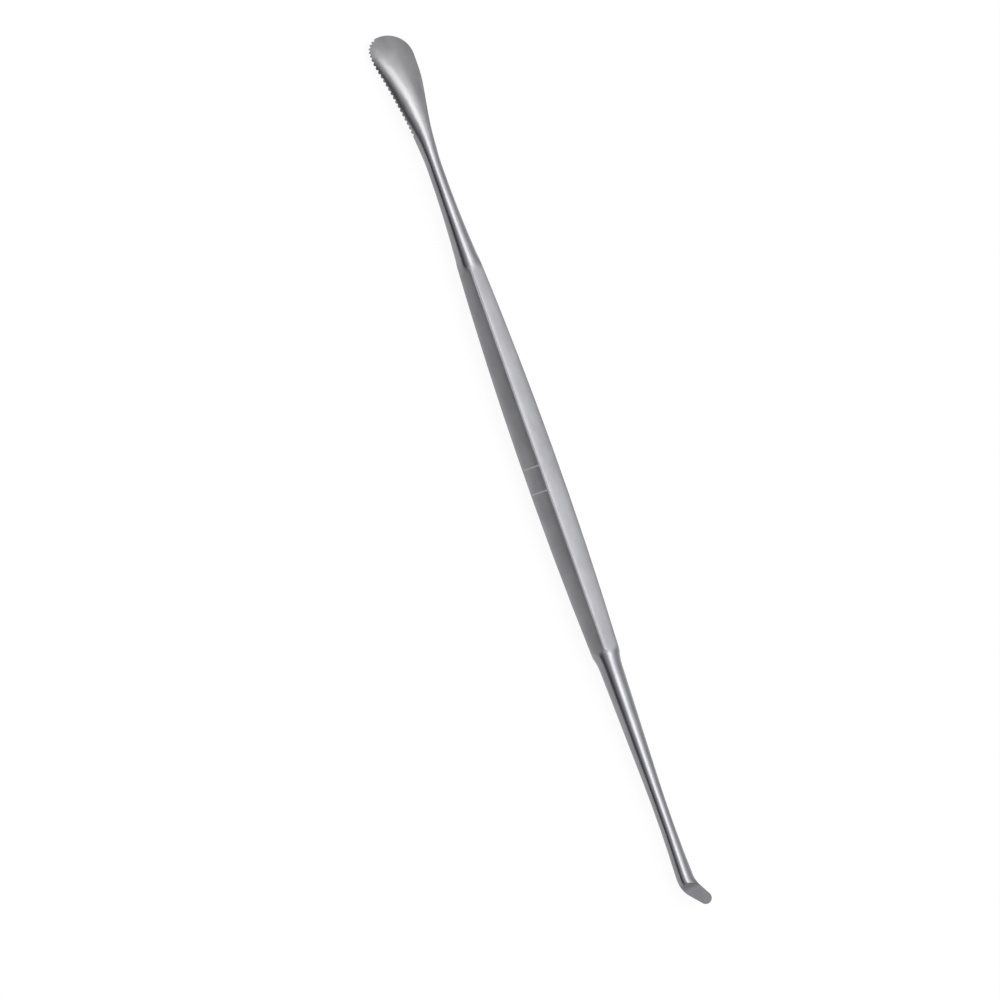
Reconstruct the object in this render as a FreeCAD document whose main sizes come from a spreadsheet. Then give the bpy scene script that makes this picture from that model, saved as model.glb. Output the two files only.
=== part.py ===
import FreeCAD, Part
import math
import os

import Sketcher

# Tonsil dissector, one forged and ground piece of stainless steel.
# A six-sided barrel handle stands between two turned necks. One neck swells into a toothed, scooped
# leaf, and the other is flattened into a small blade that is bent to one side.
# Working frame: X along the handle from its leaf end (0) to its blade end, the leaf at negative X,
# Y across the leaf and the blade, Z out of the back of the leaf.

# Driving sizes, in millimetres, degrees and counts
SIZES = {
    # Handle
    "facet_count": 6,
    "handle_length": 97.0,
    "flats_width": 8.65,
    "belly_place": 53.4,
    "belly_radius": 1000.0,
    "ridge_ease": 0.12,
    "facet_overrun": 4.0,
    # Neck that carries the leaf
    "leaf_neck_place": 24.2,
    "leaf_neck_width": 3.66,
    "leaf_neck_radius": 280.0,
    "leaf_shoulder_length": 2.5,
    "leaf_shoulder_radius": 9.0,
    # Neck that carries the blade
    "blade_neck_place": 42.3,
    "blade_neck_width": 3.5,
    "blade_neck_radius": 330.0,
    "blade_neck_root": 5.55,
    "blade_shoulder_length": 4.2,
    "blade_shoulder_radius": 14.0,
    # Leaf
    "leaf_reach": 58.6,
    "leaf_tip_radius": 6.4,
    "leaf_corner_radius": 3.35,
    "leaf_plain_side": 4.37,
    "leaf_toothed_side": 5.75,
    "leaf_parallel": 3.3,
    "leaf_plain_shoulder": 28.0,
    "leaf_plain_flare": 60.0,
    "leaf_plain_angle": 9.5,
    "leaf_toothed_blend": 20.0,
    "leaf_toothed_edge": 180.0,
    "leaf_toothed_flare": 60.0,
    "leaf_neck_clear": 0.2,
    "leaf_toothed_run": 16.7,
    "leaf_width": 10.6,
    "leaf_back": 4.2,
    "leaf_roll": 42.0,
    "leaf_drop": 2.05,
    "leaf_offset": 2.4,
    "leaf_wall": 1.0,
    # Teeth
    "edge_teeth": 16,
    "blend_teeth": 4,
    "corner_teeth": 5,
    "edge_pitch": 1.15,
    "blend_pitch": 1.12,
    "corner_pitch": 0.95,
    "tooth_depth": 0.42,
    "tooth_angle": 90.0,
    # Blade
    "blade_reach": 64.5,
    "blade_side_reach": 4.5,
    "blade_bend": 35.0,
    "blade_taper": 6.0,
    "blade_tip_radius": 1.45,
    "blade_heel_radius": 6.8,
    "blade_throat_radius": 6.0,
    "blade_length": 7.9,
    "blade_lead": 1.2,
    "blade_root_width": 4.2,
    "blade_bend_radius": 6.4,
    "blade_flat_place": 3.7,
    "blade_hollow_radius": 3.0,
    "blade_heel_thickness": 2.4,
    "blade_tip_thickness": 0.8,
}

doc = FreeCAD.newDocument("TonsilDissector")
sheet = doc.addObject("Spreadsheet::Sheet", "Sizes")
for row, (alias, size) in enumerate(SIZES.items(), start=1):
    sheet.set(f"A{row}", alias)
    sheet.set(f"B{row}", str(size))
    sheet.setAlias(f"B{row}", alias)
doc.recompute()


def vector(x, y, z=0.0):
    return FreeCAD.Vector(x, y, z)


# Sketch helpers
def add_line(sketch, start, end):
    return sketch.addGeometry(Part.LineSegment(vector(*start), vector(*end)), False)


def add_arc(sketch, centre, radius, first, last):
    """An arc that runs anticlockwise from the first to the last angle, in degrees."""
    circle = Part.Circle(vector(*centre), vector(0, 0, 1), radius)
    return sketch.addGeometry(Part.ArcOfCircle(circle, math.radians(first), math.radians(last)), False)


def join(sketch, first, first_end, second, second_end, kind="Coincident"):
    sketch.addConstraint(Sketcher.Constraint(kind, first, first_end, second, second_end))


def tie(sketch, name, expression, *constraint):
    """A named constraint whose value follows the sheet."""
    index = sketch.addConstraint(Sketcher.Constraint(*constraint))
    sketch.renameConstraint(index, name)
    sketch.setExpression(f"Constraints.{name}", expression)
    return index


def plane_of(body, role):
    for plane in body.Origin.OriginFeatures:
        if plane.Role == role:
            return plane
    raise ValueError(role)


def sketch_in(body, name, role):
    sketch = body.newObject("Sketcher::SketchObject", name)
    sketch.AttachmentSupport = [(plane_of(body, role), "")]
    sketch.MapMode = "FlatFace"
    return sketch


# The sketcher's own numbers for the points of a line or arc, and for the origin and the X axis
START, END, CENTRE = range(1, 4)
ORIGIN = X_AXIS = -START

# Where the straight neck ends and the bend to the blade begins, and the neck's half width there
BLADE_ROOT = "Sizes.handle_length + Sizes.blade_reach - Sizes.blade_length"
NECK_RUN = "(Sizes.blade_reach - Sizes.blade_length - Sizes.blade_neck_place)"
NECK_END = (
    "Sizes.blade_neck_width / 2 + Sizes.blade_neck_radius"
    f" - sqrt(Sizes.blade_neck_radius^2 - {NECK_RUN}^2)"
)

# Turned blank: both necks, their shoulders and the barrel that the handle is ground from.
# The barrel is a hair smaller than the ridges would be, so that each ridge keeps a narrow land.
value = SIZES
blank = doc.addObject("PartDesign::Body", "Blank")
profile = sketch_in(blank, "BlankProfile", "XZ_Plane")


def blank_profile():
    corner = math.cos(math.pi / value["facet_count"])
    barrel = value["belly_radius"] * corner
    middle = value["belly_place"]
    sunk = barrel - value["flats_width"] / 2 / corner + value["ridge_ease"]
    waist_x = -value["leaf_neck_place"]
    waist_r = value["leaf_neck_width"] / 2
    neck = value["leaf_neck_radius"]
    foot_x = -value["leaf_shoulder_length"]
    lean = math.asin((foot_x - waist_x) / neck)
    foot_r = waist_r + neck * (1 - math.cos(lean))
    shoulder = value["leaf_shoulder_radius"]
    centre = (foot_x - shoulder * math.sin(lean), foot_r + shoulder * math.cos(lean))
    left = barrel * math.cos(middle / barrel) - sunk
    rise = math.acos((centre[1] - left) / shoulder)

    length = value["handle_length"]
    root_x = length + value["blade_shoulder_length"]
    root_r = value["blade_neck_root"] / 2
    low_x = length + value["blade_neck_place"]
    low_r = value["blade_neck_width"] / 2
    long_bow = value["blade_neck_radius"]
    slope = math.atan((root_r - low_r) / (low_x - root_x)) * 1.1
    meet = (low_x - long_bow * math.sin(slope), low_r + long_bow * (1 - math.cos(slope)))
    step = value["blade_shoulder_radius"]
    second = (root_x + step * math.sin(slope), root_r + step * math.cos(slope))
    right = barrel * math.cos((length - middle) / barrel) - sunk
    fall = math.acos((second[1] - right) / step)
    end_x = length + value["blade_reach"] - value["blade_length"]
    climb = math.asin((end_x - low_x) / long_bow)
    end_r = low_r + long_bow * (1 - math.cos(climb))

    face = add_line(profile, (waist_x, 0), (waist_x, waist_r))
    leaf_neck = add_arc(profile, (waist_x, waist_r + neck), neck, 270, 270 + math.degrees(lean))
    leaf_shoulder = add_arc(
        profile, centre, shoulder, 270 + math.degrees(lean), 270 + math.degrees(rise)
    )
    first_turn = 90 - math.degrees((length - middle) / barrel)
    stock = add_arc(profile, (middle, -sunk), barrel, first_turn, 90 + math.degrees(middle / barrel))
    blade_shoulder = add_arc(
        profile, second, step, 270 - math.degrees(fall), 270 - math.degrees(slope)
    )
    taper = add_line(profile, (root_x, root_r), meet)
    waist = add_arc(
        profile, (low_x, low_r + long_bow), long_bow, 270 - math.degrees(slope), 270 + math.degrees(climb)
    )
    end_face = add_line(profile, (end_x, end_r), (end_x, 0))
    axis = add_line(profile, (end_x, 0), (waist_x, 0))

    join(profile, face, END, leaf_neck, START)
    join(profile, leaf_neck, END, leaf_shoulder, START, "Tangent")
    join(profile, leaf_shoulder, END, stock, END)
    join(profile, stock, START, blade_shoulder, START)
    join(profile, blade_shoulder, END, taper, START, "Tangent")
    join(profile, taper, END, waist, START, "Tangent")
    join(profile, waist, END, end_face, START)
    join(profile, end_face, END, axis, START)
    join(profile, axis, END, face, START)
    for upright in (face, end_face):
        profile.addConstraint(Sketcher.Constraint("Vertical", upright))
    profile.addConstraint(Sketcher.Constraint("PointOnObject", axis, START, X_AXIS))
    profile.addConstraint(Sketcher.Constraint("PointOnObject", axis, END, X_AXIS))
    profile.addConstraint(Sketcher.Constraint("Vertical", leaf_neck, START, leaf_neck, CENTRE))

    tie(profile, "waist_place", "Sizes.leaf_neck_place", "DistanceX", axis, END, ORIGIN, START, 24.0)
    tie(profile, "waist_half", "Sizes.leaf_neck_width / 2", "DistanceY", face, START, face, END, 2.0)
    tie(profile, "neck_bow", "Sizes.leaf_neck_radius", "Radius", leaf_neck, neck)
    tie(profile, "foot_place", "Sizes.leaf_shoulder_length", "DistanceX", leaf_neck, END, ORIGIN, START, 2.5)
    tie(profile, "shoulder_bow", "Sizes.leaf_shoulder_radius", "Radius", leaf_shoulder, shoulder)
    bow = "Sizes.belly_radius * cos(180 deg / Sizes.facet_count)"
    tie(profile, "barrel_bow", bow, "Radius", stock, barrel)
    tie(profile, "barrel_x", "Sizes.belly_place", "DistanceX", ORIGIN, START, stock, CENTRE, middle)
    bow += " - Sizes.flats_width / 2 / cos(180 deg / Sizes.facet_count) + Sizes.ridge_ease"
    tie(profile, "barrel_depth", bow, "DistanceY", stock, CENTRE, ORIGIN, START, sunk)
    tie(
        profile,
        "root_place",
        "Sizes.handle_length + Sizes.blade_shoulder_length",
        "DistanceX",
        ORIGIN,
        START,
        taper,
        START,
        root_x,
    )
    tie(profile, "root_half", "Sizes.blade_neck_root / 2", "DistanceY", ORIGIN, START, taper, START, root_r)
    tie(profile, "step_bow", "Sizes.blade_shoulder_radius", "Radius", blade_shoulder, step)
    tie(profile, "low_bow", "Sizes.blade_neck_radius", "Radius", waist, long_bow)
    tie(
        profile,
        "low_place",
        "Sizes.handle_length + Sizes.blade_neck_place",
        "DistanceX",
        ORIGIN,
        START,
        waist,
        CENTRE,
        low_x,
    )
    tie(
        profile,
        "low_height",
        "Sizes.blade_neck_width / 2 + Sizes.blade_neck_radius",
        "DistanceY",
        ORIGIN,
        START,
        waist,
        CENTRE,
        low_r + long_bow,
    )
    tie(profile, "end_place", BLADE_ROOT, "DistanceX", ORIGIN, START, waist, END, end_x)


blank_profile()
turning = blank.newObject("PartDesign::Revolution", "Turning")
turning.Profile = profile
turning.ReferenceAxis = (profile, ["H_Axis"])
turning.Angle = 360.0
doc.recompute()

# One facet: everything outside a long lengthwise arc, repeated round the handle
facet = sketch_in(blank, "FacetProfile", "XZ_Plane")
facet.setExpression(
    "AttachmentOffset",
    "placement(vector(0; 0; 0); rotation(vector(1; 0; 0); 180 / Sizes.facet_count))",
)


def facet_profile():
    over = value["facet_overrun"]
    radius = value["belly_radius"]
    middle = value["belly_place"]
    flat = value["flats_width"] / 2
    centre = (middle, flat - radius)
    left = math.asin((-over - middle) / radius)
    right = math.asin((value["handle_length"] + over - middle) / radius)
    turns = (left, right)
    low = [(centre[0] + radius * math.sin(turn), centre[1] + radius * math.cos(turn)) for turn in turns]
    top = value["flats_width"]

    belly = add_arc(facet, centre, radius, 90 - math.degrees(right), 90 - math.degrees(left))
    left_side = add_line(facet, low[0], (low[0][0], top))
    roof = add_line(facet, (low[0][0], top), (low[1][0], top))
    right_side = add_line(facet, (low[1][0], top), low[1])
    join(facet, belly, END, left_side, START)
    join(facet, left_side, END, roof, START)
    join(facet, roof, END, right_side, START)
    join(facet, right_side, END, belly, START)
    for upright in (left_side, right_side):
        facet.addConstraint(Sketcher.Constraint("Vertical", upright))
    facet.addConstraint(Sketcher.Constraint("Horizontal", roof))
    tie(facet, "belly_bow", "Sizes.belly_radius", "Radius", belly, radius)
    tie(facet, "belly_x", "Sizes.belly_place", "DistanceX", ORIGIN, START, belly, CENTRE, middle)
    tie(
        facet,
        "belly_depth",
        "Sizes.belly_radius - Sizes.flats_width / 2",
        "DistanceY",
        belly,
        CENTRE,
        ORIGIN,
        START,
        radius - flat,
    )
    tie(facet, "left_end", "Sizes.facet_overrun", "DistanceX", left_side, START, ORIGIN, START, over)
    tie(
        facet,
        "right_end",
        "Sizes.handle_length + Sizes.facet_overrun",
        "DistanceX",
        ORIGIN,
        START,
        right_side,
        END,
        low[1][0],
    )
    tie(facet, "roof_height", "Sizes.flats_width", "DistanceY", ORIGIN, START, roof, START, top)


facet_profile()
grinding = blank.newObject("PartDesign::Pocket", "Grinding")
grinding.Profile = facet
grinding.SideType = "Symmetric"
grinding.setExpression("Length", "Sizes.flats_width * 2")
doc.recompute()
facets = blank.newObject("PartDesign::PolarPattern", "Facets")
facets.Originals = [grinding]
facets.Axis = (profile, ["H_Axis"])
facets.setExpression("Occurrences", "Sizes.facet_count")
blank.Tip = facets
doc.recompute()

# Leaf, first the outer form: ovals across the length, from the round neck to beyond the tip.
# Each oval leans so that its crest runs along the toothed side.
# Columns: share of the leaf's length, share of the widening, of the deepening, of the lean and of
# the shift towards the toothed side, and how far below the back the scoop lies, in leaf walls
OVALS = (
    (0.0, 0.0, 0.0, 0.0, 0.0, 4.0),
    (0.11, 0.03, 0.02, 0.0, 0.0, 3.8),
    (0.23, 0.16, 0.14, 0.19, 0.0, 2.9),
    (0.44, 0.66, 0.69, 0.69, 0.06, 1.8),
    (0.61, 0.98, 0.9, 0.77, 0.08, 1.35),
    (0.78, 1.63, 1.0, 0.83, -0.16, 1.2),
    (1.06, 2.07, 1.06, 0.73, 0.1, 1.1),
)


def oval(name, shares, sunk):
    place, wide, deep, lean, side, walls = shares
    length = "(Sizes.leaf_reach - Sizes.leaf_neck_place)"
    neck = "Sizes.leaf_neck_width / 2"
    wide_half = f"({neck} + {wide} * (Sizes.leaf_width / 2 - {neck}))"
    deep_half = f"({neck} + {deep} * (Sizes.leaf_back - {neck}))"
    turn = f"({lean} * Sizes.leaf_roll)"
    crest = f"sqrt(({wide_half} * sin({turn} * 1 deg))^2 + ({deep_half} * cos({turn} * 1 deg))^2)"
    height = f"{neck} - Sizes.leaf_drop * {place}^6 - {crest}"
    if sunk:
        height += f" - {walls} * Sizes.leaf_wall"
    along = f"-Sizes.leaf_neck_place - {place} * {length}"
    across = f"-Sizes.leaf_offset * {side}"
    ring = doc.addObject("Part::Ellipse", name)
    ring.setExpression("MajorRadius", wide_half)
    ring.setExpression("MinorRadius", deep_half)
    ring.setExpression(
        "Placement",
        f"placement(vector({along}; {across}; {height});"
        f" rotation(vector(1; 0; 0); -{turn}) * rotation(vector(1; 1; 1); 120))",
    )
    return ring


def loft(name, sunk):
    form = doc.addObject("Part::Loft", name)
    form.Sections = [oval(f"{name}Oval{index}", shares, sunk) for index, shares in enumerate(OVALS)]
    form.Solid = True
    return form


leaf_form = loft("LeafForm", False)
scoop_form = loft("ScoopForm", True)

# Leaf outline, seen from its back
outline = doc.addObject("Sketcher::SketchObject", "LeafOutline")


def leaf_outline():
    neck = value["leaf_neck_width"] / 2 + value["leaf_neck_clear"]
    open_x = -value["leaf_neck_place"]
    plain = value["leaf_plain_side"]
    toothed = value["leaf_toothed_side"]
    tip_r = value["leaf_tip_radius"]
    tip_x = -value["leaf_reach"] + tip_r
    shoulder_x = tip_x + value["leaf_parallel"]
    angle = math.radians(value["leaf_plain_angle"])
    bulge = value["leaf_plain_shoulder"]
    flare = value["leaf_plain_flare"]
    slope_top = (shoulder_x + bulge * math.sin(angle), plain - bulge * (1 - math.cos(angle)))
    slope_low_y = neck + flare * (1 - math.cos(angle))
    slope_low = (slope_top[0] + (slope_top[1] - slope_low_y) / math.tan(angle), slope_low_y)
    flare_x = slope_low[0] + flare * math.sin(angle)

    corner_r = value["leaf_corner_radius"]
    corner_y = -toothed + corner_r
    tip_y = plain - tip_r
    corner_x = tip_x - math.sqrt((tip_r - corner_r) ** 2 - (corner_y - tip_y) ** 2)
    turn = math.degrees(math.atan2(corner_y - tip_y, corner_x - tip_x)) % 360
    blend = value["leaf_toothed_blend"]
    edge = value["leaf_toothed_edge"]
    wide_turn = math.radians(12.4)
    small_turn = math.radians(7.0)
    tooth_flare = value["leaf_toothed_flare"]
    first = (corner_x + blend * math.sin(wide_turn), -toothed + blend * (1 - math.cos(wide_turn)))
    edge_centre = (first[0] + edge * math.sin(wide_turn), first[1] - edge * math.cos(wide_turn))
    gap = edge - tooth_flare
    last_centre = (edge_centre[0] - gap * math.sin(small_turn), edge_centre[1] + gap * math.cos(small_turn))

    chain = [
        ("plain_neck", add_line(outline, (open_x, neck), (flare_x, neck)), START, END),
        (
            "plain_flare",
            add_arc(outline, (flare_x, neck + flare), flare, 270 - math.degrees(angle), 270),
            END,
            START,
        ),
        ("plain_slope", add_line(outline, slope_low, slope_top), START, END),
        (
            "plain_shoulder",
            add_arc(outline, (shoulder_x, plain - bulge), bulge, 90 - math.degrees(angle), 90),
            START,
            END,
        ),
        ("parallel", add_line(outline, (shoulder_x, plain), (tip_x, plain)), START, END),
        ("tip", add_arc(outline, (tip_x, tip_y), tip_r, 90, turn), START, END),
        ("corner", add_arc(outline, (corner_x, corner_y), corner_r, turn, 270), START, END),
        (
            "blend",
            add_arc(outline, (corner_x, blend - toothed), blend, 270, 270 + math.degrees(wide_turn)),
            START,
            END,
        ),
        (
            "edge",
            add_arc(outline, edge_centre, edge, 90 + math.degrees(small_turn), 90 + math.degrees(wide_turn)),
            END,
            START,
        ),
        (
            "toothed_flare",
            add_arc(outline, last_centre, tooth_flare, 90, 90 + math.degrees(small_turn)),
            END,
            START,
        ),
        ("toothed_neck", add_line(outline, (last_centre[0], -neck), (open_x, -neck)), START, END),
    ]
    for (_, here, _, leave), (_, following, enter, _) in zip(chain, chain[1:]):
        join(outline, here, leave, following, enter, "Tangent")
    part = {name: index for name, index, _, _ in chain}
    mouth = add_line(outline, (open_x, -neck), (open_x, neck))
    join(outline, part["toothed_neck"], END, mouth, START)
    join(outline, mouth, END, part["plain_neck"], START)
    for level in ("plain_neck", "parallel", "toothed_neck"):
        outline.addConstraint(Sketcher.Constraint("Horizontal", part[level]))
    outline.addConstraint(Sketcher.Constraint("Vertical", mouth))
    outline.addConstraint(
        Sketcher.Constraint("Vertical", part["corner"], CENTRE, part["blend"], CENTRE)
    )
    tie(outline, "mouth_x", "Sizes.leaf_neck_place", "DistanceX", mouth, START, ORIGIN, START, -open_x)
    clear = "Sizes.leaf_neck_width / 2 + Sizes.leaf_neck_clear"
    tie(outline, "mouth_up", clear, "DistanceY", ORIGIN, START, mouth, END, neck)
    tie(outline, "mouth_down", clear, "DistanceY", mouth, START, ORIGIN, START, neck)
    tie(outline, "plain_y", "Sizes.leaf_plain_side", "DistanceY", ORIGIN, START, part["tip"], START, plain)
    tie(
        outline,
        "toothed_y",
        "Sizes.leaf_toothed_side",
        "DistanceY",
        part["corner"],
        END,
        ORIGIN,
        START,
        toothed,
    )
    tie(
        outline,
        "tip_x",
        "Sizes.leaf_reach - Sizes.leaf_tip_radius",
        "DistanceX",
        part["tip"],
        CENTRE,
        ORIGIN,
        START,
        -tip_x,
    )
    tie(
        outline,
        "parallel_run",
        "Sizes.leaf_parallel",
        "DistanceX",
        part["parallel"],
        END,
        part["parallel"],
        START,
        value["leaf_parallel"],
    )
    tie(
        outline,
        "toothed_run",
        "Sizes.leaf_toothed_run",
        "DistanceX",
        part["edge"],
        END,
        part["edge"],
        START,
        value["leaf_toothed_run"],
    )
    tie(
        outline,
        "plain_lean",
        "(180 - Sizes.leaf_plain_angle) * 1 deg",
        "Angle",
        part["plain_slope"],
        math.pi - angle,
    )
    for name, alias in (
        ("plain_flare", "leaf_plain_flare"),
        ("plain_shoulder", "leaf_plain_shoulder"),
        ("tip", "leaf_tip_radius"),
        ("corner", "leaf_corner_radius"),
        ("blend", "leaf_toothed_blend"),
        ("edge", "leaf_toothed_edge"),
        ("toothed_flare", "leaf_toothed_flare"),
    ):
        tie(outline, f"{name}_bow", f"Sizes.{alias}", "Radius", part[name], value[alias])
    return part


outline_parts = leaf_outline()
doc.recompute()
trim = doc.addObject("Part::Extrusion", "LeafTrim")
trim.Base = outline
trim.Dir = vector(0, 0, 1)
trim.setExpression("LengthFwd", "Sizes.leaf_width * 3")
trim.Solid = True
trim.Symmetric = True
solid_leaf = doc.addObject("Part::Common", "SolidLeaf")
solid_leaf.Base = leaf_form
solid_leaf.Tool = trim
leaf = doc.addObject("Part::Cut", "Leaf")
leaf.Base = solid_leaf
leaf.Tool = scoop_form
doc.recompute()

# Blade outline, seen from above
paddle = doc.addObject("Sketcher::SketchObject", "BladeOutline")


def blade_outline():
    length = value["handle_length"]
    half = value["blade_root_width"] / 2
    root_x = length + value["blade_reach"] - value["blade_length"] - value["blade_lead"]
    heel_r = value["blade_heel_radius"]
    throat_r = value["blade_throat_radius"]
    tip_r = value["blade_tip_radius"]
    tip = (length + value["blade_reach"] - tip_r, value["blade_side_reach"] - tip_r)
    outer = value["blade_bend"] + value["blade_taper"]
    inner = value["blade_bend"] - value["blade_taper"]
    steep = math.radians(outer)
    shallow = math.radians(inner)
    outer_tip = (tip[0] + tip_r * math.sin(steep), tip[1] - tip_r * math.cos(steep))
    inner_tip = (tip[0] - tip_r * math.sin(shallow), tip[1] + tip_r * math.cos(shallow))
    heel_top_y = -half + heel_r * (1 - math.cos(steep))
    heel_top = (outer_tip[0] - (outer_tip[1] - heel_top_y) / math.tan(steep), heel_top_y)
    heel = (heel_top[0] - heel_r * math.sin(steep), -half + heel_r)
    throat_top_y = half + throat_r * (1 - math.cos(shallow))
    throat_top = (inner_tip[0] - (inner_tip[1] - throat_top_y) / math.tan(shallow), throat_top_y)
    throat = (throat_top[0] - throat_r * math.sin(shallow), half + throat_r)

    chain = [
        ("root_low", add_line(paddle, (root_x, -half), (heel[0], -half)), START, END),
        ("heel", add_arc(paddle, heel, heel_r, 270, 270 + outer), START, END),
        ("outer_side", add_line(paddle, heel_top, outer_tip), START, END),
        ("tip", add_arc(paddle, tip, tip_r, outer - 90, 90 + inner), START, END),
        ("inner_side", add_line(paddle, inner_tip, throat_top), START, END),
        ("throat", add_arc(paddle, throat, throat_r, 270, 270 + inner), END, START),
        ("root_high", add_line(paddle, (throat[0], half), (root_x, half)), START, END),
    ]
    for (_, here, _, leave), (_, following, enter, _) in zip(chain, chain[1:]):
        join(paddle, here, leave, following, enter, "Tangent")
    part = {name: index for name, index, _, _ in chain}
    root = add_line(paddle, (root_x, half), (root_x, -half))
    join(paddle, part["root_high"], END, root, START)
    join(paddle, root, END, part["root_low"], START)
    for level in ("root_low", "root_high"):
        paddle.addConstraint(Sketcher.Constraint("Horizontal", part[level]))
    paddle.addConstraint(Sketcher.Constraint("Vertical", root))
    across = "Sizes.blade_root_width / 2"
    tie(paddle, "root_up", across, "DistanceY", ORIGIN, START, root, START, half)
    tie(paddle, "root_down", across, "DistanceY", root, END, ORIGIN, START, half)
    along = f"{BLADE_ROOT} - Sizes.blade_lead"
    tie(paddle, "root_x", along, "DistanceX", ORIGIN, START, root, START, root_x)
    along = "Sizes.handle_length + Sizes.blade_reach - Sizes.blade_tip_radius"
    tie(paddle, "tip_x", along, "DistanceX", ORIGIN, START, part["tip"], CENTRE, tip[0])
    side = "Sizes.blade_side_reach - Sizes.blade_tip_radius"
    tie(paddle, "tip_y", side, "DistanceY", ORIGIN, START, part["tip"], CENTRE, tip[1])
    lean = "(Sizes.blade_bend + Sizes.blade_taper) * 1 deg"
    tie(paddle, "outer_lean", lean, "Angle", part["outer_side"], steep)
    lean = "(Sizes.blade_bend - Sizes.blade_taper - 180) * 1 deg"
    tie(paddle, "inner_lean", lean, "Angle", part["inner_side"], shallow - math.pi)
    tie(paddle, "tip_bow", "Sizes.blade_tip_radius", "Radius", part["tip"], tip_r)
    tie(paddle, "heel_bow", "Sizes.blade_heel_radius", "Radius", part["heel"], heel_r)
    tie(paddle, "throat_bow", "Sizes.blade_throat_radius", "Radius", part["throat"], throat_r)


blade_outline()

# The bent end of the round bar, whose two faces are ground flat afterwards
spine = doc.addObject("Sketcher::SketchObject", "BladeSpine")


def blade_spine():
    start = value["handle_length"] + value["blade_reach"] - value["blade_length"]
    bow = value["blade_bend_radius"]
    turn = math.radians(value["blade_bend"])
    reach = value["blade_length"]
    leave = (start + bow * math.sin(turn), bow * (1 - math.cos(turn)))
    far = (leave[0] + reach * math.cos(turn), leave[1] + reach * math.sin(turn))
    bend = add_arc(spine, (start, bow), bow, 270, 270 + math.degrees(turn))
    straight = add_line(spine, leave, far)
    join(spine, bend, END, straight, START, "Tangent")
    spine.addConstraint(Sketcher.Constraint("PointOnObject", bend, START, X_AXIS))
    spine.addConstraint(Sketcher.Constraint("Vertical", bend, START, bend, CENTRE))
    tie(spine, "start_x", BLADE_ROOT, "DistanceX", ORIGIN, START, bend, START, start)
    tie(spine, "bend_bow", "Sizes.blade_bend_radius", "Radius", bend, bow)
    tie(spine, "bend_lean", "Sizes.blade_bend * 1 deg", "Angle", straight, turn)
    tie(spine, "straight_run", "Sizes.blade_length", "Distance", straight, reach)


blade_spine()
bar_end = doc.addObject("Part::Circle", "BarSection")
bar_end.setExpression("Radius", NECK_END)
bar_end.setExpression("Placement", f"placement(vector({BLADE_ROOT}; 0; 0); rotation(vector(0; 1; 0); 90))")
doc.recompute()
bar = doc.addObject("Part::Sweep", "BentBar")
bar.Sections = [bar_end]
bar.Spine = (spine, ["Edge1", "Edge2"])
bar.Solid = True
blade_trim = doc.addObject("Part::Extrusion", "BladeTrim")
blade_trim.Base = paddle
blade_trim.Dir = vector(0, 0, 1)
blade_trim.setExpression("LengthFwd", "Sizes.blade_root_width * 2")
blade_trim.Solid = True
blade_trim.Symmetric = True
blade = doc.addObject("Part::Common", "Blade")
blade.Base = bar
blade.Tool = blade_trim
doc.recompute()

forging = doc.addObject("Part::MultiFuse", "Forging")
forging.Shapes = [blank, leaf, blade]
forging.Refine = False
doc.recompute()

# The finished piece: the blade's faces are ground and the teeth are cut
piece = doc.addObject("PartDesign::Body", "Dissector")
piece.Label = "dissector"
piece.BaseFeature = forging
doc.recompute()

face = sketch_in(piece, "BladeFace", "XZ_Plane")


def blade_face():
    """The stock above the blade's upper face: a wheel's hollow, and then a flat that falls to the tip."""
    root = value["handle_length"] + value["blade_reach"] - value["blade_length"]
    start = root + value["blade_flat_place"]
    end = value["handle_length"] + value["blade_reach"] + value["blade_tip_radius"]
    heel = value["blade_heel_thickness"] / 2
    tip = value["blade_tip_thickness"] / 2
    wheel = value["blade_hollow_radius"]
    line = add_line(face, (start, heel), (end, tip))
    front = add_line(face, (end, tip), (end, heel + wheel))
    roof = add_line(face, (end, heel + wheel), (start - wheel, heel + wheel))
    hollow = add_arc(face, (start, heel + wheel), wheel, 180, 270)
    join(face, line, END, front, START)
    join(face, front, END, roof, START)
    join(face, roof, END, hollow, START)
    join(face, hollow, END, line, START)
    face.addConstraint(Sketcher.Constraint("Vertical", front))
    face.addConstraint(Sketcher.Constraint("Horizontal", roof))
    face.addConstraint(Sketcher.Constraint("Horizontal", hollow, START, hollow, CENTRE))
    face.addConstraint(Sketcher.Constraint("Vertical", hollow, END, hollow, CENTRE))
    tie(face, "wheel_bow", "Sizes.blade_hollow_radius", "Radius", hollow, wheel)
    along = f"{BLADE_ROOT} + Sizes.blade_flat_place"
    tie(face, "flat_x", along, "DistanceX", ORIGIN, START, line, START, start)
    along = "Sizes.handle_length + Sizes.blade_reach + Sizes.blade_tip_radius"
    tie(face, "front_x", along, "DistanceX", ORIGIN, START, line, END, end)
    tie(face, "tip_half", "Sizes.blade_tip_thickness / 2", "DistanceY", ORIGIN, START, line, END, tip)
    tie(face, "heel_half", "Sizes.blade_heel_thickness / 2", "DistanceY", ORIGIN, START, line, START, heel)


blade_face()
upper_face = piece.newObject("PartDesign::Pocket", "UpperFace")
upper_face.Profile = face
upper_face.SideType = "Symmetric"
upper_face.setExpression("Length", "Sizes.leaf_width * 2")
doc.recompute()
faces = piece.newObject("PartDesign::PolarPattern", "BothFaces")
faces.Originals = [upper_face]
faces.Axis = (face, ["H_Axis"])
faces.Occurrences = 2
piece.Tip = faces
doc.recompute()


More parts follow.
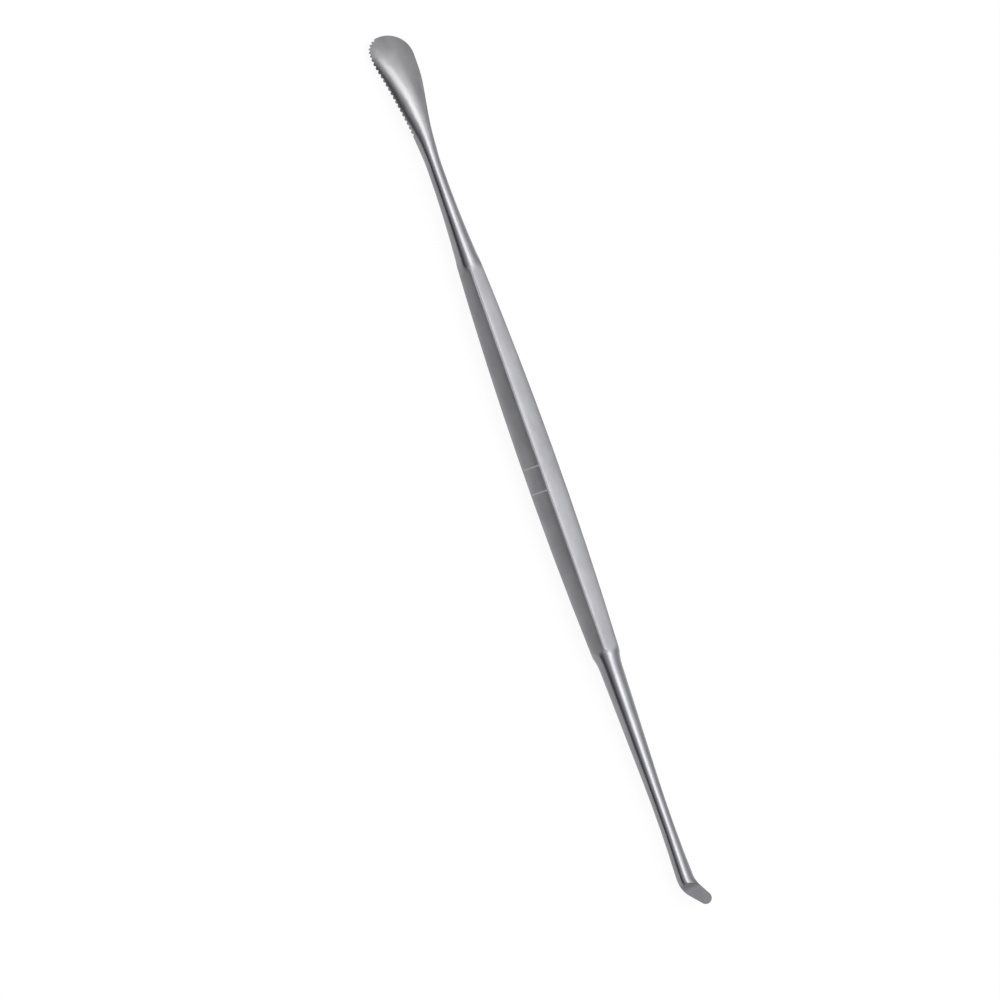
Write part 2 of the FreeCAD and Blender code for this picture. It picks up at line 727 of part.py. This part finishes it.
# Teeth: one V-notch through the edge, repeated along each arc of the toothed side
def tooth_row(name, arc_name, bow, outward):
    """A row turns about its arc's centre. Outward is 1 where the centre lies inside the leaf."""
    arc = outline.Geometry[outline_parts[arc_name]]
    centre = arc.Center
    first = arc.EndPoint - centre
    first_turn = math.degrees(math.atan2(first.y, first.x))
    notch = sketch_in(piece, f"{name}Notch", "XY_Plane")
    notch.AttachmentOffset = FreeCAD.Placement(
        vector(centre.x, centre.y), FreeCAD.Rotation(vector(0, 0, 1), first_turn)
    )
    depth = value["tooth_depth"]
    spare = depth
    radius = arc.Radius
    root = radius - outward * depth
    rim = radius + outward * spare
    half = (depth + spare) * math.tan(math.radians(value["tooth_angle"] / 2))
    corners = [(root, 0), (rim, -half), (rim, half)]
    lines = [add_line(notch, corners[at], corners[(at + 1) % 3]) for at in range(3)]
    for at in range(3):
        join(notch, lines[at], END, lines[(at + 1) % 3], START)
    notch.addConstraint(Sketcher.Constraint("PointOnObject", lines[0], START, X_AXIS))
    notch.addConstraint(Sketcher.Constraint("Symmetric", lines[1], START, lines[1], END, X_AXIS))
    sign = "-" if outward > 0 else "+"
    back = "+" if outward > 0 else "-"
    tie(notch, "root", f"{bow} {sign} Sizes.tooth_depth", "DistanceX", ORIGIN, START, lines[0], START, root)
    tie(notch, "rim", f"{bow} {back} Sizes.tooth_depth", "DistanceX", ORIGIN, START, lines[1], START, rim)
    flank = "4 * Sizes.tooth_depth * tan(Sizes.tooth_angle / 2 * 1 deg)"
    tie(notch, "mouth", flank, "DistanceY", lines[1], START, lines[1], END, 2 * half)
    cut = piece.newObject("PartDesign::Pocket", f"{name}Tooth")
    cut.Profile = notch
    cut.SideType = "Symmetric"
    cut.setExpression("Length", "Sizes.leaf_width * 2")
    doc.recompute()
    row = piece.newObject("PartDesign::PolarPattern", f"{name}Teeth")
    row.Originals = [cut]
    row.Axis = (notch, ["N_Axis"])
    row.Mode = "Spacing"
    row.Reversed = True
    row.setExpression("Offset", f"Sizes.{arc_name}_pitch / {bow} * 180 / pi * 1 deg")
    row.setExpression("Occurrences", f"Sizes.{arc_name}_teeth")
    piece.Tip = row
    doc.recompute()


tooth_row("Edge", "edge", "Sizes.leaf_toothed_edge", -1)
tooth_row("Blend", "blend", "Sizes.leaf_toothed_blend", 1)
tooth_row("Corner", "corner", "Sizes.leaf_corner_radius", 1)

# Rest: one facet lies flat on the ground, with the middle of the length over the origin
piece.setExpression(
    "Placement",
    "placement(vector((Sizes.leaf_reach - Sizes.handle_length - Sizes.blade_reach) / 2; 0;"
    " Sizes.flats_width / 2); rotation(vector(1; 0; 0); 180 / Sizes.facet_count))",
)
doc.recompute()

for item in doc.Objects:
    bad = [state for state in item.State if state in ("Invalid", "Error")]
    if bad:
        raise RuntimeError(f"{item.Label}: {bad}")
    form = getattr(item, "Shape", None)
    if form is not None and (form.isNull() or not form.isValid()):
        raise RuntimeError(f"{item.Label}: shape is empty or not valid")
if len(piece.Shape.Solids) != 1:
    raise RuntimeError("the dissector is not one solid")

os.makedirs("parts", exist_ok=True)
piece.Shape.exportStep("parts/dissector.step")
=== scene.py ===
import math

import bpy
from mathutils import Matrix, Quaternion, Vector

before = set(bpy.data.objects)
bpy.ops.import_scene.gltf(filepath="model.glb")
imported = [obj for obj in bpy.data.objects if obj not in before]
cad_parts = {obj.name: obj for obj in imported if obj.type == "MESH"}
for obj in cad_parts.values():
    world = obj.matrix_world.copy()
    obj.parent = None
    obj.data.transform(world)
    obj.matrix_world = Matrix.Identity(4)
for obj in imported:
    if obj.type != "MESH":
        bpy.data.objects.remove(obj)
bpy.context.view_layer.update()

scene = bpy.context.scene
scene.view_settings.view_transform = "Standard"

# Places along the tool, X in metres, from before the leaf's tip to past the blade's
BEFORE_LEAF_TIP = -0.2
LEAF_BELLY = -0.092
LEAF_ROOT = -0.084
LEAF_NECK = -0.079
HANDLE_LEAF_END = -0.05145
FACETS_START = -0.05065
HANDLE_BLADE_END = 0.04555
BEND_START = 0.0945
BLADE_NECK = 0.1025
BLADE_ROOT = 0.1038
PAST_BLADE_TIP = 0.2

# The handle is a six-sided bar round an axis at this height, and lies on one facet
AXIS_HEIGHT = 0.004325
HALF_FACET = math.radians(30)

# Etched lines: where each starts and ends along the tool, and the soft edge of each
ETCHED_LINES = ((-0.0016, -0.0013), (0.0046, 0.0049))
ETCHED_SOFTNESS = 0.0001

# They are on the facet that looks this way, and a normal this near to it is on that facet
ETCHED_FACET = (0.0, -0.866, 0.5)
SAME_FACET = 0.97

# Steel colours, part by part; partly painted light, each grey set lighter or darker to match that
# part's brightness
NECK_GREY = (0.27, 0.271, 0.284, 1)
HANDLE_GREY = (0.321, 0.322, 0.334, 1)
LEAF_GREY = (0.302, 0.298, 0.303, 1)
BLADE_GREY = (0.222, 0.223, 0.233, 1)
ETCHED_GREY = (0.5, 0.5, 0.5, 1)

# Soft clouds: the noise lies between the first two, and multiplies the colour by the other two
NOISE_LOW = 0.35
NOISE_HIGH = 0.65
DARKEST_CLOUD = 0.92
LIGHTEST_CLOUD = 1.07

# Roughness of the turned necks, and what each finish adds to it
NECK_ROUGHNESS = 0.235
HANDLE_ROUGHER = 0.18
BLADE_ROUGHER = 0.18
LEAF_ROUGHER = 0.05
CLOUDS_ROUGHER = 0.05
SATIN_ROUGHER = 0.025
SCRATCHES_ROUGHER = 0.02
ETCHED_ROUGHER = 0.2

# Depth of the satin's pits, where that of the long scratches is 1
SATIN_DEPTH = 0.4

# How far the shading normal turns outwards: 0 is the mesh's own, 1 is that of a round bar
NECK_ROUNDING = 0.85
FACET_ROUNDING = 0.2
RIDGE_ROUNDING = 0.42

# Sideways lean of the shading normal on the outer leaf, and the share of it at the bar's bend
LEAN = (0.0, 0.15, 0.0)
BEND_SHARE = 0.7

VECTOR = "NodeSocketVector"
FLOAT = "NodeSocketFloat"


def material(name):
    """A material with an empty sheet of nodes, and that sheet."""
    made = bpy.data.materials.new(name)
    made.use_nodes = True
    made.node_tree.nodes.clear()
    return made, made.node_tree


def add(tree, kind, place, **settings):
    """A node at a place on the sheet, with its properties and unlinked sockets set by name."""
    node = tree.nodes.new(kind)
    node.location = place
    for key, setting in settings.items():
        if hasattr(node, key):
            setattr(node, key, setting)
        else:
            node.inputs[key.replace("_", " ")].default_value = setting
    return node


def math_node(tree, operation, place, *sources, clamp=False):
    """A number worked out from other sockets or plain numbers; gives back its output socket."""
    node = add(tree, "ShaderNodeMath", place, operation=operation, use_clamp=clamp)
    for socket, source in zip(node.inputs, sources):
        if isinstance(source, (int, float)):
            socket.default_value = source
        else:
            tree.links.new(source, socket)
    return node.outputs[0]


def group(name, inputs, outputs):
    """An empty node group; inputs and outputs give each socket's name and kind."""
    tree = bpy.data.node_groups.new(name, "ShaderNodeTree")
    for label, kind in inputs.items():
        tree.interface.new_socket(label, in_out="INPUT", socket_type=kind)
    for label, kind in outputs.items():
        tree.interface.new_socket(label, in_out="OUTPUT", socket_type=kind)
    return tree, add(tree, "NodeGroupInput", (-1100, 0)), add(tree, "NodeGroupOutput", (100, 0))


def ground_grain():
    """Noise, so many grains per metre along X, Y and Z: long scratches, a satin, or soft clouds."""
    inputs = {"Place": VECTOR, "Per metre": VECTOR, "Detail": FLOAT}
    tree, given, result = group("ground grain", inputs, {"Grain": FLOAT})
    scaled = add(tree, "ShaderNodeVectorMath", (-480, 0), operation="MULTIPLY")
    tree.links.new(given.outputs["Place"], scaled.inputs[0])
    tree.links.new(given.outputs["Per metre"], scaled.inputs[1])
    noise = add(tree, "ShaderNodeTexNoise", (-260, 0), Scale=1.0, Roughness=0.62)
    tree.links.new(scaled.outputs[0], noise.inputs["Vector"])
    tree.links.new(given.outputs["Detail"], noise.inputs["Detail"])
    tree.links.new(noise.outputs["Fac"], result.inputs["Grain"])
    return tree


def along_mask():
    """1 between two places along the tool and 0 outside, with a soft change."""
    inputs = {"Along": FLOAT, "From": FLOAT, "To": FLOAT, "Softness": FLOAT}
    tree, given, result = group("stretch of the tool", inputs, {"Inside": FLOAT})
    softness = given.outputs["Softness"]
    edges = []
    for row, label in enumerate(("From", "To")):
        low = math_node(tree, "SUBTRACT", (-600, -200 * row), given.outputs[label], softness)
        high = math_node(tree, "ADD", (-600, -200 * row - 90), given.outputs[label], softness)
        ramp = add(tree, "ShaderNodeMapRange", (-400, -200 * row), interpolation_type="SMOOTHSTEP")
        tree.links.new(given.outputs["Along"], ramp.inputs["Value"])
        tree.links.new(low, ramp.inputs["From Min"])
        tree.links.new(high, ramp.inputs["From Max"])
        edges.append(ramp.outputs[0])
    inside = math_node(tree, "SUBTRACT", (-200, 0), edges[0], edges[1], clamp=True)
    tree.links.new(inside, result.inputs["Inside"])
    return tree


def facet_crown():
    """Turns the normal outwards from the tool's axis, by Amount and by up to Edge more at a ridge.

    A small Amount crowns a facet as polishing does, and a large one hides the flats that the mesh
    has round a neck.
    """
    inputs = {"Place": VECTOR, "Normal": VECTOR, "Amount": FLOAT, "Edge": FLOAT}
    tree, given, result = group("facet crown", inputs, {"Normal": VECTOR})
    from_axis = add(tree, "ShaderNodeVectorMath", (-900, 150), operation="MULTIPLY_ADD")
    tree.links.new(given.outputs["Place"], from_axis.inputs[0])
    from_axis.inputs[1].default_value = (0.0, 1.0, 1.0)
    from_axis.inputs[2].default_value = (0.0, 0.0, -AXIS_HEIGHT)
    outward = add(tree, "ShaderNodeVectorMath", (-720, 150), operation="NORMALIZE")
    tree.links.new(from_axis.outputs[0], outward.inputs[0])
    between = add(tree, "ShaderNodeVectorMath", (-540, 150), operation="DOT_PRODUCT")
    tree.links.new(outward.outputs[0], between.inputs[0])
    tree.links.new(given.outputs["Normal"], between.inputs[1])

    # 0 in the middle of a facet and 1 at its ridges, rising late
    slope = 1 / (1 - math.cos(HALF_FACET))
    cosine = between.outputs["Value"]
    ridge = math_node(tree, "MULTIPLY_ADD", (-540, -50), cosine, -slope, slope, clamp=True)
    ridge = math_node(tree, "POWER", (-540, -200), ridge, 2.0)
    amount, edge = given.outputs["Amount"], given.outputs["Edge"]
    lean = math_node(tree, "MULTIPLY_ADD", (-400, -50), ridge, edge, amount, clamp=True)
    leaned = add(tree, "ShaderNodeMix", (-250, 0), data_type="VECTOR")
    tree.links.new(lean, leaned.inputs["Factor"])
    tree.links.new(given.outputs["Normal"], leaned.inputs["A"])
    tree.links.new(outward.outputs[0], leaned.inputs["B"])
    even = add(tree, "ShaderNodeVectorMath", (-100, 0), operation="NORMALIZE")
    tree.links.new(leaned.outputs["Result"], even.inputs[0])
    tree.links.new(even.outputs[0], result.inputs["Normal"])
    return tree


GRAIN = ground_grain()
STRETCH = along_mask()
CROWN = facet_crown()


def steel():
    """Stainless steel: turned necks, a satin handle, leaf and blade, and two etched lines."""
    made, tree = material("ground stainless steel")
    links = tree.links
    place = add(tree, "ShaderNodeTexCoord", (-1700, 0))
    split = add(tree, "ShaderNodeSeparateXYZ", (-1500, 0))
    links.new(place.outputs["Object"], split.inputs[0])
    geometry = add(tree, "ShaderNodeNewGeometry", (-1500, 700))

    def stretch(spot, first, last, softness):
        node = add(tree, "ShaderNodeGroup", spot, node_tree=STRETCH, Softness=softness)
        node.inputs["From"].default_value = first
        node.inputs["To"].default_value = last
        links.new(split.outputs["X"], node.inputs["Along"])
        return node.outputs["Inside"]

    def grain(spot, per_metre, detail):
        node = add(tree, "ShaderNodeGroup", spot, node_tree=GRAIN, Per_metre=per_metre, Detail=detail)
        links.new(place.outputs["Object"], node.inputs["Place"])
        return node.outputs["Grain"]

    leaf = stretch((-1250, 480), BEFORE_LEAF_TIP, LEAF_ROOT, softness=0.008)
    outer_leaf = stretch((-1250, -900), BEFORE_LEAF_TIP, LEAF_BELLY, softness=0.008)
    handle = stretch((-1250, 300), HANDLE_LEAF_END, HANDLE_BLADE_END, softness=0.0006)
    facets = stretch((-1250, -700), FACETS_START, HANDLE_BLADE_END, softness=0.0008)
    round_part = stretch((-1450, -700), LEAF_NECK, BLADE_NECK, softness=0.003)
    blade = stretch((-1250, 100), BLADE_ROOT, PAST_BLADE_TIP, softness=0.0008)
    from_bend = stretch((-1250, -1100), BEND_START, PAST_BLADE_TIP, softness=0.0065)
    long_scratches = grain((-1250, -150), per_metre=(90.0, 3200.0, 3200.0), detail=6.0)
    satin = grain((-1250, -350), per_metre=(900.0, 900.0, 900.0), detail=4.0)
    clouds = grain((-1250, -550), per_metre=(130.0, 300.0, 300.0), detail=3.0)

    # Two etched lines across one facet
    facing = add(tree, "ShaderNodeVectorMath", (-1300, 700), operation="DOT_PRODUCT")
    links.new(geometry.outputs["Normal"], facing.inputs[0])
    facing.inputs[1].default_value = ETCHED_FACET
    on_facet = math_node(tree, "GREATER_THAN", (-1100, 700), facing.outputs["Value"], SAME_FACET)
    lines = [
        stretch((-1250 + 200 * step, 560), first, last, ETCHED_SOFTNESS)
        for step, (first, last) in enumerate(ETCHED_LINES)
    ]
    either = math_node(tree, "MAXIMUM", (-850, 560), *lines)
    etched = math_node(tree, "MULTIPLY", (-650, 620), either, on_facet)

    # Colour: the necks' grey, then that of each other part, slightly clouded, and the etched lines
    # The part greys are partly painted light: lighter facets and leaf and a darker blade stand in for
    # how the lamps fall
    necks = add(tree, "ShaderNodeRGB", (-1050, 400))
    necks.outputs[0].default_value = NECK_GREY
    shade = necks.outputs[0]
    greys = ((handle, HANDLE_GREY), (leaf, LEAF_GREY), (blade, BLADE_GREY))
    for step, (where, grey) in enumerate(greys):
        mixed = add(tree, "ShaderNodeMix", (-850 + 150 * step, 300), data_type="RGBA")
        links.new(where, mixed.inputs["Factor"])
        links.new(shade, mixed.inputs["A"])
        mixed.inputs["B"].default_value = grey
        shade = mixed.outputs["Result"]
    tone = add(tree, "ShaderNodeMapRange", (-850, 150), From_Min=NOISE_LOW, From_Max=NOISE_HIGH)
    tone.inputs["To Min"].default_value = DARKEST_CLOUD
    tone.inputs["To Max"].default_value = LIGHTEST_CLOUD
    links.new(clouds, tone.inputs["Value"])
    cloudy = add(tree, "ShaderNodeMix", (-400, 300), data_type="RGBA", blend_type="MULTIPLY")
    cloudy.inputs["Factor"].default_value = 1.0
    links.new(shade, cloudy.inputs["A"])
    links.new(tone.outputs[0], cloudy.inputs["B"])
    marked = add(tree, "ShaderNodeMix", (-250, 400), data_type="RGBA")
    links.new(etched, marked.inputs["Factor"])
    links.new(cloudy.outputs["Result"], marked.inputs["A"])
    marked.inputs["B"].default_value = ETCHED_GREY

    # Roughness: the turned necks are the smoothest, and each finish adds its share
    rougher = (
        (handle, HANDLE_ROUGHER),
        (blade, BLADE_ROUGHER),
        (leaf, LEAF_ROUGHER),
        (clouds, CLOUDS_ROUGHER),
        (satin, SATIN_ROUGHER),
        (long_scratches, SCRATCHES_ROUGHER),
        (etched, ETCHED_ROUGHER),
    )
    rough = NECK_ROUGHNESS
    for step, (where, share) in enumerate(rougher):
        rough = math_node(tree, "MULTIPLY_ADD", (-1050 + 150 * step, -50), where, share, rough)

    # Normal: crowned facets and true round necks
    amount = math_node(tree, "MULTIPLY", (-1050, -700), round_part, NECK_ROUNDING)
    less = FACET_ROUNDING - NECK_ROUNDING
    amount = math_node(tree, "MULTIPLY_ADD", (-850, -700), facets, less, amount)
    edge = math_node(tree, "MULTIPLY", (-850, -850), handle, RIDGE_ROUNDING)
    crown = add(tree, "ShaderNodeGroup", (-650, -600), node_tree=CROWN)
    links.new(place.outputs["Object"], crown.inputs["Place"])
    links.new(geometry.outputs["Normal"], crown.inputs["Normal"])
    links.new(amount, crown.inputs["Amount"])
    links.new(edge, crown.inputs["Edge"])

    # The outer leaf and the bar at its bend lean towards +Y, so their highlights lie nearer to -Y
    bend = math_node(tree, "SUBTRACT", (-1050, -1100), from_bend, blade, clamp=True)
    bend = math_node(tree, "MULTIPLY", (-850, -1100), bend, BEND_SHARE)
    sideways = math_node(tree, "MAXIMUM", (-650, -1000), outer_leaf, bend)
    leaned = add(tree, "ShaderNodeVectorMath", (-450, -900), operation="MULTIPLY_ADD")
    leaned.inputs[0].default_value = LEAN
    links.new(sideways, leaned.inputs[1])
    links.new(crown.outputs["Normal"], leaned.inputs[2])
    even = add(tree, "ShaderNodeVectorMath", (-350, -750), operation="NORMALIZE")
    links.new(leaned.outputs[0], even.inputs[0])

    # Fine relief: scratches along the tool, and the satin's small pits
    height = math_node(tree, "MULTIPLY_ADD", (-650, -350), satin, SATIN_DEPTH, long_scratches)
    bump = add(tree, "ShaderNodeBump", (-250, -350), Strength=0.03, Distance=0.00001)
    links.new(even.outputs[0], bump.inputs["Normal"])
    links.new(height, bump.inputs["Height"])

    surface = add(tree, "ShaderNodeBsdfPrincipled", (0, 100), Metallic=1.0)
    links.new(marked.outputs["Result"], surface.inputs["Base Color"])
    links.new(rough, surface.inputs["Roughness"])
    links.new(bump.outputs["Normal"], surface.inputs["Normal"])
    output = add(tree, "ShaderNodeOutputMaterial", (300, 100))
    links.new(surface.outputs[0], output.inputs["Surface"])
    return made


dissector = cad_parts["dissector"]
dissector.data.materials.clear()
dissector.data.materials.append(steel())


# Share of plain white in what the camera and the steel see of the floor; the rest keeps the shadow
FLOOR_WHITE = 0.93


def floor():
    """Pale paper, near white to the camera and in reflections, with the tool's shadow kept."""
    half = 3.0
    mesh = bpy.data.meshes.new("floor")
    corners = [(-half, -half, 0), (half, -half, 0), (half, half, 0), (-half, half, 0)]
    mesh.from_pydata(corners, [], [(0, 1, 2, 3)])
    made = bpy.data.objects.new("floor", mesh)
    scene.collection.objects.link(made)
    paper, tree = material("white paper")
    matt = add(tree, "ShaderNodeBsdfDiffuse", (-300, 150), Color=(0.9, 0.9, 0.9, 1))
    glow = add(tree, "ShaderNodeEmission", (-300, 0), Color=(1, 1, 1, 1), Strength=1.0)
    rays = add(tree, "ShaderNodeLightPath", (-900, 400)).outputs
    seen = math_node(tree, "MAXIMUM", (-700, 400), rays["Is Camera Ray"], rays["Is Glossy Ray"])
    seen = math_node(tree, "MAXIMUM", (-500, 400), seen, rays["Is Transmission Ray"])
    glow_share = math_node(tree, "MULTIPLY", (-300, 400), seen, FLOOR_WHITE)
    mix = add(tree, "ShaderNodeMixShader", (0, 100))
    tree.links.new(glow_share, mix.inputs["Fac"])
    tree.links.new(matt.outputs[0], mix.inputs[1])
    tree.links.new(glow.outputs[0], mix.inputs[2])
    output = add(tree, "ShaderNodeOutputMaterial", (200, 100))
    tree.links.new(mix.outputs[0], output.inputs["Surface"])
    mesh.materials.append(paper)


# Light of the room round the tool: degrees from overhead, towards +Y, and the level there. A dark
# band low at the front, a bright top and a mid grey back wall make the streaks along the necks.
ROOM_BANDS = (
    (-100, 0.4),
    (-90, 0.36),
    (-84, 0.05),
    (-65, 0.05),
    (-52, 0.45),
    (-35, 0.8),
    (-20, 1.0),
    (10, 1.6),
    (24, 1.9),
    (35, 1.3),
    (47, 0.82),
    (90, 0.69),
)

# What the room's light has more of in blue
COOLER = 0.015

# Beyond each end of the tool the room turns an even grey: the side, where that starts, where it ends
ROOM_ENDS = ((1.0, 0.35, 0.7), (-1.0, 0.35, 0.65))
END_GREY = (0.7, 0.7, 0.715, 1)


def room():
    """The studio round the tool, which only the steel shows; the camera sees plain white."""
    world = bpy.data.worlds.new("studio")
    scene.world = world
    world.use_nodes = True
    tree = world.node_tree
    tree.nodes.clear()
    direction = add(tree, "ShaderNodeTexCoord", (-1100, 0))
    split = add(tree, "ShaderNodeSeparateXYZ", (-900, 0))
    tree.links.new(direction.outputs["Generated"], split.inputs[0])
    turn = math_node(tree, "ARCTAN2", (-700, 0), split.outputs["Y"], split.outputs["Z"])
    share = math_node(tree, "MULTIPLY_ADD", (-500, 0), turn, 1 / math.tau, 0.5)
    ramp = add(tree, "ShaderNodeValToRGB", (-300, 0))
    tree.links.new(share, ramp.inputs["Fac"])
    bands = ramp.color_ramp.elements
    while len(bands) < len(ROOM_BANDS):
        bands.new(0.5)
    for band, (degrees, level) in zip(bands, ROOM_BANDS):
        band.position = degrees / 360 + 0.5
        band.color = (level, level, level + COOLER, 1)

    ends = []
    for row, (side, near, far) in enumerate(ROOM_ENDS):
        reach = math_node(tree, "MULTIPLY", (-700, -300 - 200 * row), split.outputs["X"], side)
        beyond = add(
            tree,
            "ShaderNodeMapRange",
            (-500, -300 - 200 * row),
            interpolation_type="SMOOTHSTEP",
            From_Min=near,
            From_Max=far,
        )
        tree.links.new(reach, beyond.inputs["Value"])
        ends.append(beyond.outputs[0])
    past = math_node(tree, "MAXIMUM", (-250, -300), *ends)
    walls = add(tree, "ShaderNodeMix", (-50, -50), data_type="RGBA")
    tree.links.new(past, walls.inputs["Factor"])
    tree.links.new(ramp.outputs["Color"], walls.inputs["A"])
    walls.inputs["B"].default_value = END_GREY
    lit = add(tree, "ShaderNodeBackground", (100, 0), Strength=1.0)
    tree.links.new(walls.outputs["Result"], lit.inputs["Color"])

    white = add(tree, "ShaderNodeBackground", (0, -150), Color=(1, 1, 1, 1), Strength=1.0)
    rays = add(tree, "ShaderNodeLightPath", (0, 300))
    mix = add(tree, "ShaderNodeMixShader", (250, 0))
    tree.links.new(rays.outputs["Is Camera Ray"], mix.inputs["Fac"])
    tree.links.new(lit.outputs[0], mix.inputs[1])
    tree.links.new(white.outputs[0], mix.inputs[2])
    output = add(tree, "ShaderNodeOutputWorld", (450, 0))
    tree.links.new(mix.outputs[0], output.inputs["Surface"])


def soft_box():
    """A wide lamp nearly overhead, its long side along the tool but turned a little."""
    distance = 1.6
    light = bpy.data.lights.new("soft box", "AREA")
    light.shape = "RECTANGLE"
    light.size = 1.35
    light.size_y = 0.8
    light.energy = 8.9
    lamp = bpy.data.objects.new("soft box", light)
    scene.collection.objects.link(lamp)
    toward = Vector((0.0, -0.08, 1.0)).normalized()
    yaw = Quaternion((0.0, 0.0, 1.0), math.radians(10))
    lamp.location = toward * distance
    lamp.rotation_mode = "QUATERNION"
    lamp.rotation_quaternion = toward.to_track_quat("Z", "Y") @ yaw


def camera():
    """Square on to the ridge between the two upper facets, the leaf up and to the left."""
    data = bpy.data.cameras.new("camera")
    made = bpy.data.objects.new("camera", data)
    scene.collection.objects.link(made)
    aim = Vector((0.00325, -0.01005, -0.00148))
    back = Vector((0.0, -0.5, 0.8660254))
    right = Vector((0.33243, 0.81677, 0.47157)).normalized()
    up = back.cross(right)
    distance = 1.6
    view_width = 0.2375
    data.sensor_width = 36.0
    data.lens = data.sensor_width * distance / view_width
    data.clip_start = 0.1
    data.clip_end = 20.0
    turn = Matrix((right, up, back)).transposed().to_4x4()
    made.matrix_world = Matrix.Translation(aim + back * distance) @ turn
    scene.camera = made


floor()
room()
soft_box()
camera()
